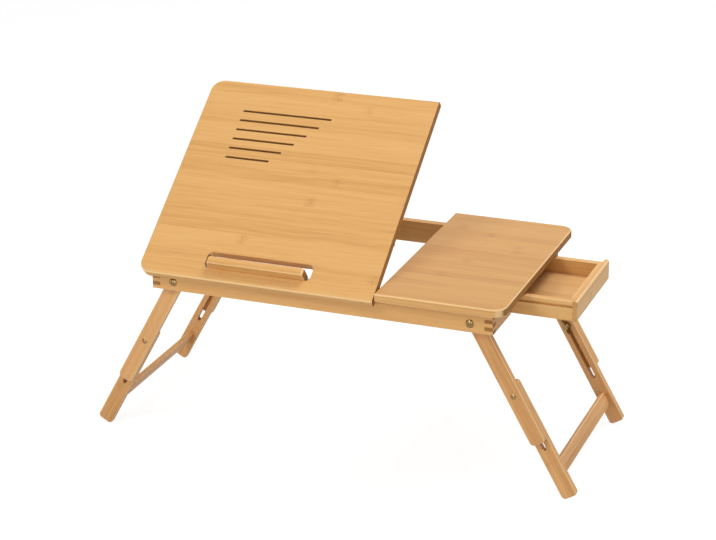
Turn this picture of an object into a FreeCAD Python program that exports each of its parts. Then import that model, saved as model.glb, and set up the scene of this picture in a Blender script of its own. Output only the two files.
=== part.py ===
import FreeCAD, Part
import math
import os

# Folding bed table in bamboo: a box-jointed frame carries a tilting top on the left, a fixed top on
# the right, a side drawer and two pairs of folding legs with sliding extensions.
# Millimetres. While it is built, X runs right, Y runs back, Z runs up and the corner of the frame at
# the left, front and bottom is the zero point. At the end everything moves so that the zero point is
# on the floor, under the middle of the table as it stands open.

# Clearances
GAP = 0.3            # between faces of pieces that move past each other
FIT = 0.05           # between a shaft and its bore, or a tenon and its mortise
SEAT = 0.2           # between the prop rod and its notch
PAST = 1.0           # how far a cutter runs past a face

# Frame
FRAME_W = 516.0
FRAME_D = 316.0
RAIL_H = 33.0
RAIL_T = 12.0
RAIL_EDGE_R = 1.2
FINGERS = 6          # box joint fingers over the height of a rail

# Tops
TOP_T = 12.0
TOP_FRONT_OVERHANG = 17.0
TOP_BACK_OVERHANG = 17.0
TOP_RIGHT_OVERHANG = 20.0
TOP_LEFT_OVERHANG = 14.0
SEAM_X = 350.0       # left edge of the fixed top
SEAM_GAP = 2.5
TOP_CORNER_R = 20.0
TOP_ARRIS_R = 3.0
TOP_UNDER_R = 2.0
TILT_DEG = 36.5

# Air slots in the tilting top
VENTS = 6
VENT_W = 3.4
VENT_LEFT = 66.0     # from the left edge of the top
VENT_LENGTH = 142.5
VENT_SHRINK = 14.5
VENT_PITCH = 17.0
VENT_FIRST = 296.4   # from the front edge of the top

# Stop bar and its slot in the tilting top
STOP_LENGTH = 149.0
STOP_W = 26.0
STOP_T = 12.0
STOP_LEFT = 106.0    # from the left edge of the top
STOP_FRONT = 20.0    # from the front edge of the top
STOP_END_GAP = 7.0   # finger room at each end
STOP_BACK_GAP = 0.8  # room for its upper edges as it folds down
STOP_SLOT_R = 8.0
STOP_EDGE_R = 1.5
STOP_CORNER_R = 5.0  # at the upper corners of its ends
STOP_PIN_R = 2.0
STOP_PIN_HOLD = 9.0  # length of a pin in the bar and in the top

# Hinges of the tilting top
HINGE_LEFT = 36.0     # from the left end of the frame
HINGE_RIGHT = 60.0    # left end of the other hinge, from the seam
HINGE_LENGTH = 40.0
HINGE_LEAF_T = 1.0
HINGE_LEAF_W = 10.5
BARREL_R = 2.0
HINGE_PIN_R = 1.0
HINGE_OUT = 1.0      # barrel axis in front of the rail
LEAF_SCREW_R = 1.2
LEAF_SCREW_LENGTH = 7.0
LEAF_SCREW_IN = 4.2   # from the long edge of a leaf
LEAF_SCREW_END = 8.0  # from its ends

# Prop under the tilting top
PROP_PIVOT_S = 155.0  # from the hinge, along the top
PROP_DROP = 6.5       # pivot below the underside of the top
PROP_LEAN_DEG = 13.0  # foot leans forward of the pivot by this angle
PROP_ROD_R = 3.0
PROP_ROD_Z = 25.0
PROP_ARM_W = 12.0
PROP_ARM_T = 10.0
PROP_PIN_R = 2.0
CLEAT_W = 11.0
CLEAT_LENGTH = 34.0
CLEAT_UNDER = 6.0     # wood below the pin
RACK_T = 10.0
RACK_NOTCHES = 4
RACK_PITCH = 10.0
RACK_FRONT = 46.0
RACK_TOP_GAP = 1.5    # rack below the top edge of the rails
RACK_BACK_DEG = 42.0  # slope behind the last notch
RACK_END = 0.5        # last notch ends in front of the rod's middle, so that the rod can leave
TOOTH_DEG = 30.0      # where the slope of a tooth leaves the round seat
RACK_ARM_GAP = 1.5
ROD_SIDE_GAP = 1.0    # between an end of the rod and the rail beside it
FULL = 0.98           # how full a rounded end is: 1 would be a half circle

# Divider between the prop bay and the drawer bay
DIVIDER_X = 257.5
DIVIDER_T = 12.0
DIVIDER_STRIP = 6.0   # wood left above the end notches
DIVIDER_NOTCH_GAP = 1.7
TENON = 5.0

# Legs
LEG_PIVOT_X = 33.0    # from the end of the frame
LEG_PIVOT_Z = 13.0
LEG_W = 23.5
LEG_T = 10.0
LEG_EDGE_R = 2.0
LEG_STOP_GAP = 0.25   # between an open leg and the side rail
LEG_SPACE = 2.0       # between the long rail and the upper leg
UPPER_END = 199.0     # these lengths are from the pivot
LOWER_TOP = 105.0
LOWER_END = 290.0
UPPER_END_R = 6.0
FOOT_R = 5.5
LOWER_TOP_R = 3.5
ADJUSTER_S = 122.0
LEG_TRAVEL = 88.0
SLOT_W = 6.2
SLOT_SPARE = 0.5
CROSSBAR_S = 249.0
CROSSBAR_W = 22.0
CROSSBAR_T = 8.0
CROSSBAR_EDGE_R = 1.8
CROSSBAR_TENON_W = 15.0
CROSSBAR_TENON_T = 4.5

# Leg hardware
PIVOT_BOLT_R = 3.0
PIVOT_HEAD_R = 6.3
PIVOT_HEAD_H = 2.6
WASHER_R = 8.0
NUT_FLATS = 10.0
NUT_H = 5.0
ADJUSTER_BOLT_R = 2.5
ADJUSTER_HEAD_R = 4.4
ADJUSTER_HEAD_H = 1.6
ADJUSTER_WASHER_R = 6.5
ADJUSTER_WASHER_T = 1.0
BOLT_SPARE = 1.5      # bolt beyond its nut
WING_HUB_R = 5.0
WING_HUB_TIP_R = 4.0
WING_HUB_H = 6.5
WING_SPAN = 26.0
WING_H = 11.0
WING_T = 2.0
WING_LOW = 1.0        # wing above the foot of the hub
WING_SHARE = 0.7      # where a wing's long edges end, as a part of its reach
WING_TIP_H = 4.0      # height of its outer edge
WING_EDGE_R = 1.5
WING_TIP_R = 2.0

# Drawer
DRAWER_OUT = 95.0     # as it stands open
DRAWER_BACK_X = 350.0
DRAWER_SIDE_Y = 84.0
DRAWER_FAR_Y = 246.0
DRAWER_SIDE_T = 9.5
DRAWER_END_T = 6.5
DRAWER_BOTTOM_Z = 1.0
DRAWER_TOP_Z = 29.7
DRAWER_EDGE_R = 1.2
FRONT_Y = 81.3
FRONT_FAR_Y = 251.7
FRONT_T = 6.5
FRONT_BOTTOM_Z = 1.5
FRONT_TOP_Z = 31.5
FRONT_ARRIS_R = 4.0
FRONT_EDGE_R = 1.5
FLOOR_T = 3.5
FLOOR_Z = 4.0
FLOOR_GROOVE = 4.0
GROOVE_Z = 19.8
GROOVE_H = 3.6
GROOVE_DEPTH = 4.0
GUIDE_W = 12.7
GUIDE_LEFT_X = 352.0

# Wood screws and dowels
SCREW_R = 1.75
SCREW_HEAD_R = 3.5
SCREW_HEAD_H = 2.0
RACK_SCREW_LENGTH = 16.0
GUIDE_SCREW_LENGTH = 21.0
GUIDE_SCREW_IN = 30.0  # from the ends of a guide
DRAWER_SCREW_LENGTH = 11.0
DRAWER_SCREW_IN = 40.0  # from the sides of the drawer
DOWEL_R = 3.0
DOWEL_HALF = 8.0      # length of a dowel in each piece
DOWEL_SEAM = 22.0     # first dowel of a long rail, from the seam
DOWEL_END = 14.0      # last one, from the right end of the frame

# Worked out from the sizes above
RAIL_INNER_Y = RAIL_T
RAIL_BACK_Y = FRAME_D - RAIL_T
UPPER_Y = RAIL_T + LEG_SPACE
LOWER_Y = UPPER_Y + LEG_T + GAP
INNER_Y = LOWER_Y + LEG_T
HALF_LEG = LEG_W / 2
HINGE_Z = RAIL_H + GAP / 2
HINGE_XS = (HINGE_LEFT, SEAM_X - HINGE_RIGHT)
PANEL_Z = RAIL_H + GAP
FRONT_Y0 = -TOP_FRONT_OVERHANG
TOP_DEPTH = FRAME_D + TOP_FRONT_OVERHANG + TOP_BACK_OVERHANG
DOWEL_FIRST = SEAM_X + DOWEL_SEAM
DOWEL_LAST = FRAME_W - DOWEL_END
DOWEL_XS = (DOWEL_FIRST, (DOWEL_FIRST + DOWEL_LAST) / 2, DOWEL_LAST)
DRAWER_FRONT_X = FRAME_W
DRAWER_INNER_X = FRAME_W - FRONT_T

X = FreeCAD.Vector(1, 0, 0)
Y = FreeCAD.Vector(0, 1, 0)
Z = FreeCAD.Vector(0, 0, 1)
V = FreeCAD.Vector


def leg_angle():
    """Angle of an open leg from the vertical: its edge rests on the inner edge of the side rail."""
    across = LEG_PIVOT_X - RAIL_T
    reach = math.hypot(across, LEG_PIVOT_Z)
    return math.degrees(math.acos((HALF_LEG + LEG_STOP_GAP) / reach) - math.atan2(LEG_PIVOT_Z, across))


LEG_DEG = leg_angle()
HINGE = V(0, -HINGE_OUT, HINGE_Z)
PROP_PIVOT = V(0, -HINGE_OUT + PROP_PIVOT_S, PANEL_Z - PROP_DROP)


def tilted(point):
    """A point of the flat top where it is with the top tilted."""
    turn = FreeCAD.Rotation(X, TILT_DEG)
    return HINGE + turn.multVec(point - HINGE)


PROP_PIVOT_UP = tilted(PROP_PIVOT)
PROP_LENGTH = (PROP_PIVOT_UP.z - PROP_ROD_Z) / math.cos(math.radians(PROP_LEAN_DEG))
PROP_FOOT = V(0, PROP_PIVOT_UP.y - PROP_LENGTH * math.sin(math.radians(PROP_LEAN_DEG)), PROP_ROD_Z)
PROP_SWING = 90.0 + PROP_LEAN_DEG + TILT_DEG


def box(x0, x1, y0, y1, z0, z1):
    return Part.makeBox(x1 - x0, y1 - y0, z1 - z0, V(x0, y0, z0))


def rod(start, direction, radius, length):
    return Part.makeCylinder(radius, length, start, direction)


def rounded(shape, radius, wanted):
    """The shape with a fillet on the edges for which wanted(middle, direction) is true."""
    edges = []
    for edge in shape.Edges:
        middle = edge.valueAt((edge.FirstParameter + edge.LastParameter) / 2)
        run = edge.Vertexes[-1].Point - edge.Vertexes[0].Point
        if wanted(middle, run):
            edges.append(edge)
    return shape.makeFillet(radius, edges)


def near(a, b):
    return abs(a - b) < 0.01


def outline(points, radii):
    """A closed wire through points in one plane, with each corner rounded by its own radius."""
    edges = []
    count = len(points)
    tangents = []
    for i, corner in enumerate(points):
        to_last = (points[i - 1] - corner).normalize()
        to_next = (points[(i + 1) % count] - corner).normalize()
        half = to_last.getAngle(to_next) / 2
        if radii[i] == 0:
            tangents.append((corner, None, corner))
            continue
        back = radii[i] / math.tan(half)
        centre_way = (to_last + to_next).normalize()
        centre = corner + centre_way * (radii[i] / math.sin(half))
        tangents.append((corner + to_last * back, centre - centre_way * radii[i], corner + to_next * back))
    for i, (start, middle, end) in enumerate(tangents):
        if middle is not None:
            edges.append(Part.Arc(start, middle, end).toShape())
        following = tangents[(i + 1) % count][0]
        if (following - end).Length > 0.001:
            edges.append(Part.LineSegment(end, following).toShape())
    return Part.Wire(edges)


def plate(points, radii, thickness):
    """A plate from an outline, extruded by a vector."""
    return Part.Face(outline(points, radii)).extrude(thickness)


def moved(shape, offset):
    shape = shape.copy()
    shape.translate(offset)
    return shape


def turned(shape, centre, axis, angle):
    shape = shape.copy()
    shape.rotate(centre, axis, angle)
    return shape


def mirror_back(shape):
    """The same piece at the back of the table."""
    return shape.mirror(V(0, FRAME_D / 2, 0), Y)


def mirror_right(shape):
    """The same piece at the right end of the table."""
    return shape.mirror(V(FRAME_W / 2, 0, 0), X)


def flat_screw(point, direction, length):
    """A countersunk screw whose head lies flush at point."""
    head = Part.makeCone(SCREW_HEAD_R, SCREW_R, SCREW_HEAD_H, point, direction)
    return head.fuse(rod(point, direction, SCREW_R, length)).removeSplitter()


def leaf_screw(point, direction):
    head = Part.makeCone(2 * LEAF_SCREW_R, LEAF_SCREW_R, HINGE_LEAF_T, point, direction)
    return head.fuse(rod(point, direction, LEAF_SCREW_R, LEAF_SCREW_LENGTH)).removeSplitter()


# Frame

def finger(index):
    """Lower and upper height of one finger of the box joints."""
    step = RAIL_H / FINGERS
    return index * step, (index + 1) * step


def corner_cuts(x0, x1, y0, y1, first):
    """The parts of a rail's end that belong to the rail that crosses it."""
    return [box(x0, x1, y0, y1, *finger(i)) for i in range(first, FINGERS, 2)]


def leg_pivots():
    return (LEG_PIVOT_X, FRAME_W - LEG_PIVOT_X)


def dowel_points():
    long_rails = [V(x, y, RAIL_H) for x in DOWEL_XS for y in (RAIL_T / 2, FRAME_D - RAIL_T / 2)]
    stub_x = FRAME_W - RAIL_T / 2
    stubs = [V(stub_x, y, RAIL_H) for y in (FRONT_Y / 2, (FRAME_D + FRONT_FAR_Y) / 2)]
    return long_rails + stubs


def dowels(spare=0.0):
    half = DOWEL_HALF + spare
    return [rod(p - Z * half, Z, DOWEL_R + spare, 2 * half) for p in dowel_points()]


def hinge_recesses():
    """Room for the hinges in the rail and in the top."""
    cuts = []
    for x in HINGE_XS:
        x1 = x + HINGE_LENGTH
        y_back = HINGE.y + HINGE_LEAF_W + FIT
        cuts.append(box(x - FIT, x1 + FIT, 0, y_back, RAIL_H - HINGE_LEAF_T, RAIL_H))
        cuts.append(rod(V(x - FIT, HINGE.y, HINGE.z), X, BARREL_R + GAP, HINGE_LENGTH + 2 * FIT))
    return cuts


def divider_tenons(spare=0.0):
    low = RAIL_H - DIVIDER_STRIP
    x0 = DIVIDER_X - spare
    x1 = DIVIDER_X + DIVIDER_T + spare
    front = box(x0, x1, RAIL_INNER_Y - TENON - spare, RAIL_INNER_Y, low - spare, RAIL_H)
    return front, mirror_back(front)


def long_rail():
    rail = box(0, FRAME_W, 0, RAIL_T, 0, RAIL_H)
    rail = rounded(rail, RAIL_EDGE_R, lambda m, d: near(m.y, 0) and near(m.z, 0))
    ends = corner_cuts(0, RAIL_T, 0, RAIL_T, 1) + corner_cuts(FRAME_W - RAIL_T, FRAME_W, 0, RAIL_T, 1)
    holes = [rod(V(x, 0, LEG_PIVOT_Z), Y, PIVOT_BOLT_R + FIT, RAIL_T) for x in leg_pivots()]
    return rail.cut(ends + holes + dowels(FIT) + [divider_tenons(FIT)[0]])


def front_rail():
    screws = [leaf_screw(p, -Z) for p in hinge_screw_points(RAIL_H)]
    return long_rail().cut(hinge_recesses() + screws)


def side_rail(y0, y1, joints):
    """A rail across the left end; joints are the front and back ends that have fingers."""
    rail = box(0, RAIL_T, y0, y1, 0, RAIL_H)
    cuts = []
    if "front" in joints:
        cuts += corner_cuts(0, RAIL_T, 0, RAIL_T, 0)
    if "back" in joints:
        cuts += corner_cuts(0, RAIL_T, RAIL_BACK_Y, FRAME_D, 0)
    return rail.cut(cuts)


def left_rail():
    return side_rail(0, FRAME_D, ("front", "back")).cut(rack_screws()[:2])


def right_rail_front():
    stub = mirror_right(side_rail(0, FRONT_Y - GAP, ("front",)))
    return stub.cut(dowels(FIT))


def right_rail_back():
    stub = mirror_right(side_rail(FRONT_FAR_Y + GAP, FRAME_D, ("back",)))
    return stub.cut(dowels(FIT))


def divider():
    body = box(DIVIDER_X, DIVIDER_X + DIVIDER_T, RAIL_INNER_Y, RAIL_BACK_Y, 0, RAIL_H)
    reach = INNER_Y + DIVIDER_NOTCH_GAP
    low = RAIL_H - DIVIDER_STRIP
    notch = box(DIVIDER_X, DIVIDER_X + DIVIDER_T, RAIL_INNER_Y, reach, 0, low)
    body = body.cut([notch, mirror_back(notch)])
    return body.fuse(list(divider_tenons())).removeSplitter().cut(rack_screws()[2:])


# Prop racks

def notch_centres():
    return [V(0, PROP_FOOT.y - i * RACK_PITCH, PROP_ROD_Z) for i in range(RACK_NOTCHES)]


def side_plate(corners, width):
    """A piece with straight edges seen from the side; corners are pairs of Y and Z."""
    points = [V(0, y, z) for y, z in corners]
    return Part.Face(Part.makePolygon(points + points[:1])).extrude(X * width)


def rack_profile():
    """A strip with saw teeth; the rod rests against their upright front faces."""
    top = RAIL_H - RACK_TOP_GAP
    seat_r = PROP_ROD_R + SEAT
    end_y = PROP_FOOT.y - RACK_END
    floor_z = PROP_ROD_Z - seat_r
    foot_y = end_y + floor_z / math.tan(math.radians(RACK_BACK_DEG))
    front = [(end_y, top), (RACK_FRONT, top), (RACK_FRONT, 0)]
    strip = side_plate(front + [(foot_y, 0), (end_y, floor_z)], RACK_T)
    cuts = []
    for centre in notch_centres():
        front_y = centre.y - seat_r
        slope_y = centre.y + seat_r * math.cos(math.radians(TOOTH_DEG))
        open_y = slope_y + (top - centre.z) * math.tan(math.radians(TOOTH_DEG))
        corners = [(front_y, top), (front_y, centre.z), (slope_y, centre.z), (open_y, top)]
        cuts.append(side_plate(corners, RACK_T))
        cuts.append(rod(centre, X, seat_r, RACK_T))
    return strip.cut(cuts)


def rack_left_x():
    return RAIL_T


def rack_right_x():
    return DIVIDER_X - RACK_T


def rack_screws():
    """Two screws for each rack, from its bare side."""
    screws = []
    low = PROP_ROD_Z / 2
    for y in (RACK_FRONT + RACK_PITCH, PROP_FOOT.y - RACK_PITCH):
        screws.append(flat_screw(V(rack_left_x() + RACK_T, y, low), -X, RACK_SCREW_LENGTH))
    for y in (RACK_FRONT + RACK_PITCH, PROP_FOOT.y - RACK_PITCH):
        screws.append(flat_screw(V(rack_right_x(), y, low), X, RACK_SCREW_LENGTH))
    return screws


def rack_left():
    return moved(rack_profile(), X * rack_left_x()).cut(rack_screws())


def rack_right():
    return moved(rack_profile(), X * rack_right_x()).cut(rack_screws())


# Tops

def edge_rounds(top, seam_x, z0):
    """Rounds on the free edges of a top, none along its seam."""
    top = rounded(top, TOP_ARRIS_R, lambda m, d: near(m.z, z0 + TOP_T) and not near(m.x, seam_x))
    return rounded(top, TOP_UNDER_R, lambda m, d: near(m.z, z0) and not near(m.x, seam_x))


def fixed_panel():
    x1 = FRAME_W + TOP_RIGHT_OVERHANG
    y1 = FRAME_D + TOP_BACK_OVERHANG
    points = [V(SEAM_X, FRONT_Y0, RAIL_H), V(x1, FRONT_Y0, RAIL_H), V(x1, y1, RAIL_H), V(SEAM_X, y1, RAIL_H)]
    top = plate(points, (0, TOP_CORNER_R, TOP_CORNER_R, 0), Z * TOP_T)
    top = edge_rounds(top, SEAM_X, RAIL_H)
    return top.cut(dowels(FIT) + guide_screws())


def panel_left_x():
    return -TOP_LEFT_OVERHANG


def slot_cut(x0, x1, y0, y1, radius):
    """A cutter for a slot with rounded corners, right through the tilting top."""
    z = PANEL_Z - PAST
    points = [V(x0, y0, z), V(x1, y0, z), V(x1, y1, z), V(x0, y1, z)]
    return plate(points, (radius,) * 4, Z * (TOP_T + 2 * PAST))


def vents():
    cuts = []
    for i in range(VENTS):
        x0 = panel_left_x() + VENT_LEFT
        x1 = x0 + VENT_LENGTH - i * VENT_SHRINK
        y = FRONT_Y0 + VENT_FIRST - i * VENT_PITCH
        cuts.append(slot_cut(x0, x1, y - VENT_W / 2, y + VENT_W / 2, FULL * VENT_W / 2))
    return cuts


def stop_pivot():
    """Axis of the stop bar, in the flat top."""
    return V(panel_left_x() + STOP_LEFT, FRONT_Y0 + STOP_FRONT + STOP_T / 2, PANEL_Z + TOP_T / 2)


def stop_slot():
    pivot = stop_pivot()
    x0 = pivot.x - STOP_END_GAP
    x1 = pivot.x + STOP_LENGTH + STOP_END_GAP
    y0 = pivot.y - STOP_T / 2 - GAP
    y1 = pivot.y - STOP_T / 2 + STOP_W + STOP_BACK_GAP
    return slot_cut(x0, x1, y0, y1, STOP_SLOT_R)


def stop_pins():
    pivot = stop_pivot()
    length = 2 * STOP_PIN_HOLD + STOP_END_GAP
    left = rod(pivot - X * (STOP_END_GAP + STOP_PIN_HOLD), X, STOP_PIN_R, length)
    right = rod(pivot + X * (STOP_LENGTH - STOP_PIN_HOLD), X, STOP_PIN_R, length)
    return [left, right]


def stop_pin_holes():
    pivot = stop_pivot()
    reach = STOP_END_GAP + STOP_PIN_HOLD + FIT
    return [rod(pivot - X * reach, X, STOP_PIN_R + FIT, STOP_LENGTH + 2 * reach)]


def tilt_panel():
    x0 = panel_left_x()
    x1 = SEAM_X - SEAM_GAP
    y1 = FRONT_Y0 + TOP_DEPTH
    points = [V(x0, FRONT_Y0, PANEL_Z), V(x1, FRONT_Y0, PANEL_Z), V(x1, y1, PANEL_Z), V(x0, y1, PANEL_Z)]
    top = plate(points, (TOP_CORNER_R, 0, 0, TOP_CORNER_R), Z * TOP_T)
    top = edge_rounds(top, x1, PANEL_Z)
    cuts = vents() + [stop_slot()] + stop_pin_holes()
    screws = [leaf_screw(p, Z) for p in hinge_screw_points(PANEL_Z)]
    for x in HINGE_XS:
        y_back = HINGE.y + HINGE_LEAF_W + FIT
        leaf = box(x - FIT, x + HINGE_LENGTH + FIT, HINGE.y, y_back, PANEL_Z, PANEL_Z + HINGE_LEAF_T)
        barrel = rod(V(x - FIT, HINGE.y, HINGE.z), X, BARREL_R + GAP, HINGE_LENGTH + 2 * FIT)
        cuts += [leaf, barrel]
    return top.cut(cuts + screws)


def stop_bar():
    """The bar stands up through the slot; its lower edge is round about the pins."""
    pivot = stop_pivot()
    half = STOP_T / 2
    x1 = pivot.x + STOP_LENGTH
    y0 = pivot.y - half
    z0 = pivot.z - half
    z1 = z0 + STOP_W
    points = [V(pivot.x, y0, z0), V(x1, y0, z0), V(x1, y0, z1), V(pivot.x, y0, z1)]
    bar = plate(points, (0, 0, STOP_CORNER_R, STOP_CORNER_R), Y * STOP_T)
    bar = rounded(bar, STOP_EDGE_R, lambda m, d: near(d.y, 0) and not near(m.z, z0))
    bar = rounded(bar, FULL * half, lambda m, d: near(m.z, z0) and abs(d.x) > half)
    return bar.cut(stop_pin_holes())


# Hinges

def hinge_screw_points(z):
    y = HINGE.y + HINGE_LEAF_W - LEAF_SCREW_IN
    ends = (LEAF_SCREW_END, HINGE_LENGTH - LEAF_SCREW_END)
    return [V(x + end, y, z) for x in HINGE_XS for end in ends]


def knuckle_spans(x, moving):
    """Three knuckles: the top has the middle one, the rail has the outer two."""
    third = HINGE_LENGTH / 3
    if moving:
        return [(x + third + GAP / 2, x + 2 * third - GAP / 2)]
    return [(x, x + third - GAP / 2), (x + 2 * third + GAP / 2, x + HINGE_LENGTH)]


def hinge_leaf(x, moving):
    z0 = PANEL_Z if moving else RAIL_H - HINGE_LEAF_T
    clear_y = HINGE.y + BARREL_R + GAP
    leaf = box(x, x + HINGE_LENGTH, clear_y, HINGE.y + HINGE_LEAF_W, z0, z0 + HINGE_LEAF_T)
    parts = []
    for start, end in knuckle_spans(x, moving):
        parts.append(box(start, end, HINGE.y, clear_y, z0, z0 + HINGE_LEAF_T))
        parts.append(rod(V(start, HINGE.y, HINGE.z), X, BARREL_R, end - start))
    leaf = leaf.fuse(parts).removeSplitter()
    bore = rod(V(x - PAST, HINGE.y, HINGE.z), X, HINGE_PIN_R + FIT, HINGE_LENGTH + 2 * PAST)
    way = Z if moving else -Z
    screws = [leaf_screw(p, way) for p in hinge_screw_points(PANEL_Z if moving else RAIL_H)]
    return leaf.cut([bore] + screws)


def hinge_frame_leaves():
    return [hinge_leaf(x, False) for x in HINGE_XS]


def hinge_panel_leaves():
    return [hinge_leaf(x, True) for x in HINGE_XS]


def hinge_pins():
    return [rod(V(x, HINGE.y, HINGE.z), X, HINGE_PIN_R, HINGE_LENGTH) for x in HINGE_XS]


def hinge_frame_screws():
    return [leaf_screw(p, -Z) for p in hinge_screw_points(RAIL_H)]


def hinge_panel_screws():
    return [leaf_screw(p, Z) for p in hinge_screw_points(PANEL_Z)]


# Prop, made as it lies under the flat top

def arm_left_x():
    return rack_left_x() + RACK_T + RACK_ARM_GAP


def arm_right_x():
    return rack_right_x() - RACK_ARM_GAP - PROP_ARM_W


def prop_arm(x):
    half = PROP_ARM_T / 2
    y0 = PROP_PIVOT.y - half
    y1 = PROP_PIVOT.y + PROP_LENGTH + half
    z0 = PROP_PIVOT.z - half
    z1 = PROP_PIVOT.z + half
    points = [V(x, y0, z0), V(x, y1, z0), V(x, y1, z1), V(x, y0, z1)]
    arm = plate(points, (FULL * half,) * 4, X * PROP_ARM_W)
    pin_hole = rod(V(x, PROP_PIVOT.y, PROP_PIVOT.z), X, PROP_PIN_R + FIT, PROP_ARM_W)
    rod_hole = rod(V(x, PROP_PIVOT.y + PROP_LENGTH, PROP_PIVOT.z), X, PROP_ROD_R + FIT, PROP_ARM_W)
    return arm.cut([pin_hole, rod_hole])


def prop_rod():
    x0 = rack_left_x() + ROD_SIDE_GAP
    x1 = rack_right_x() + RACK_T - ROD_SIDE_GAP
    return rod(V(x0, PROP_PIVOT.y + PROP_LENGTH, PROP_PIVOT.z), X, PROP_ROD_R, x1 - x0)


def cleat_left_x():
    return arm_left_x() + PROP_ARM_W + GAP


def cleat_right_x():
    return arm_right_x() - GAP - CLEAT_W


def prop_cleat(x):
    """A block glued under the top that holds one pin of the prop."""
    half = CLEAT_LENGTH / 2
    y = PROP_PIVOT.y
    low = PROP_PIVOT.z - CLEAT_UNDER
    front = [V(x, y - half, PANEL_Z), V(x, y - half / 2, low)]
    back = [V(x, y + half / 2, low), V(x, y + half, PANEL_Z)]
    block = plate(front + back, (0, CLEAT_UNDER, CLEAT_UNDER, 0), X * CLEAT_W)
    return block.cut(rod(V(x, y, PROP_PIVOT.z), X, PROP_PIN_R + FIT, CLEAT_W))


def prop_pins():
    length = PROP_ARM_W + GAP + CLEAT_W
    return [
        rod(V(arm_left_x(), PROP_PIVOT.y, PROP_PIVOT.z), X, PROP_PIN_R, length),
        rod(V(cleat_right_x(), PROP_PIVOT.y, PROP_PIVOT.z), X, PROP_PIN_R, length),
    ]


# Legs, made upright at the front left corner with the pivot at LEG_PIVOT_X

def leg_plate(y, top_s, end_s, top_r, end_r):
    x0 = LEG_PIVOT_X - HALF_LEG
    x1 = LEG_PIVOT_X + HALF_LEG
    z0 = LEG_PIVOT_Z - end_s
    z1 = LEG_PIVOT_Z - top_s
    points = [V(x0, y, z0), V(x1, y, z0), V(x1, y, z1), V(x0, y, z1)]
    bar = plate(points, (end_r, end_r, top_r, top_r), Y * LEG_T)
    return rounded(bar, LEG_EDGE_R, lambda m, d: near(m.y, y) or near(m.y, y + LEG_T))


def bolt_hole(s, radius):
    return rod(V(LEG_PIVOT_X, 0, LEG_PIVOT_Z - s), Y, radius, FRAME_D / 2)


def upper_leg():
    bar = leg_plate(UPPER_Y, -HALF_LEG, UPPER_END, FULL * HALF_LEG, UPPER_END_R)
    return bar.cut([bolt_hole(0, PIVOT_BOLT_R + FIT), bolt_hole(ADJUSTER_S, ADJUSTER_BOLT_R + FIT)])


def crossbar_tenon(spare=0.0):
    x0 = LEG_PIVOT_X - CROSSBAR_TENON_T / 2 - spare
    x1 = LEG_PIVOT_X + CROSSBAR_TENON_T / 2 + spare
    z0 = LEG_PIVOT_Z - CROSSBAR_S - CROSSBAR_TENON_W / 2 - spare
    z1 = LEG_PIVOT_Z - CROSSBAR_S + CROSSBAR_TENON_W / 2 + spare
    return box(x0, x1, INNER_Y - TENON - spare, INNER_Y, z0, z1)


def lower_leg():
    bar = leg_plate(LOWER_Y, LOWER_TOP, LOWER_END, LOWER_TOP_R, FOOT_R)
    reach = ADJUSTER_BOLT_R + SLOT_SPARE
    x0 = LEG_PIVOT_X - SLOT_W / 2
    x1 = LEG_PIVOT_X + SLOT_W / 2
    z0 = LEG_PIVOT_Z - ADJUSTER_S - LEG_TRAVEL - reach
    z1 = LEG_PIVOT_Z - ADJUSTER_S + reach
    points = [V(x0, LOWER_Y, z0), V(x1, LOWER_Y, z0), V(x1, LOWER_Y, z1), V(x0, LOWER_Y, z1)]
    slot = plate(points, (FULL * SLOT_W / 2,) * 4, Y * LEG_T)
    return bar.cut([slot, crossbar_tenon(FIT)])


def crossbar():
    x0 = LEG_PIVOT_X - CROSSBAR_T / 2
    x1 = LEG_PIVOT_X + CROSSBAR_T / 2
    z = LEG_PIVOT_Z - CROSSBAR_S
    bar = box(x0, x1, INNER_Y, FRAME_D - INNER_Y, z - CROSSBAR_W / 2, z + CROSSBAR_W / 2)
    bar = rounded(bar, CROSSBAR_EDGE_R, lambda m, d: abs(d.y) > 1)
    tenon = crossbar_tenon()
    return bar.fuse([tenon, mirror_back(tenon)]).removeSplitter()


def domed_bolt(s, head_y, head_r, head_h, shank_r, end_y):
    """A bolt along Y: a low dome in front of head_y and a shank up to end_y."""
    centre = V(LEG_PIVOT_X, head_y, LEG_PIVOT_Z - s)
    ball_r = (head_r * head_r + head_h * head_h) / (2 * head_h)
    half = math.asin(head_r / ball_r) / 2
    top = centre - Y * head_h
    rim = centre + X * head_r
    bulge = top + X * (ball_r * math.sin(half)) + Y * (ball_r * (1 - math.cos(half)))
    edges = [
        Part.LineSegment(centre, rim).toShape(),
        Part.Arc(rim, bulge, top).toShape(),
        Part.LineSegment(top, centre).toShape(),
    ]
    head = Part.Face(Part.Wire(edges)).revolve(centre, Y, 360)
    return head.fuse(rod(centre, Y, shank_r, end_y - head_y)).removeSplitter()


def ring(s, y0, y1, outer, inner):
    centre = V(LEG_PIVOT_X, y0, LEG_PIVOT_Z - s)
    return rod(centre, Y, outer, y1 - y0).cut(rod(centre, Y, inner, y1 - y0))


def pivot_nut_y():
    return UPPER_Y + LEG_T + GAP


def pivot_bolt():
    end_y = pivot_nut_y() + NUT_H + BOLT_SPARE
    return domed_bolt(0, 0, PIVOT_HEAD_R, PIVOT_HEAD_H, PIVOT_BOLT_R, end_y)


def pivot_washer():
    return ring(0, RAIL_T, UPPER_Y - GAP, WASHER_R, PIVOT_BOLT_R + FIT)


def pivot_nut():
    y = pivot_nut_y()
    corner = NUT_FLATS / math.sqrt(3)
    points = []
    for i in range(6):
        angle = math.radians(60 * i)
        points.append(V(LEG_PIVOT_X + corner * math.cos(angle), y, LEG_PIVOT_Z + corner * math.sin(angle)))
    nut = Part.Face(Part.makePolygon(points + points[:1])).extrude(Y * NUT_H)
    return nut.cut(bolt_hole(0, PIVOT_BOLT_R + FIT))


def washer_y():
    return INNER_Y + GAP


def wing_nut_y():
    return washer_y() + ADJUSTER_WASHER_T + GAP


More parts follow.
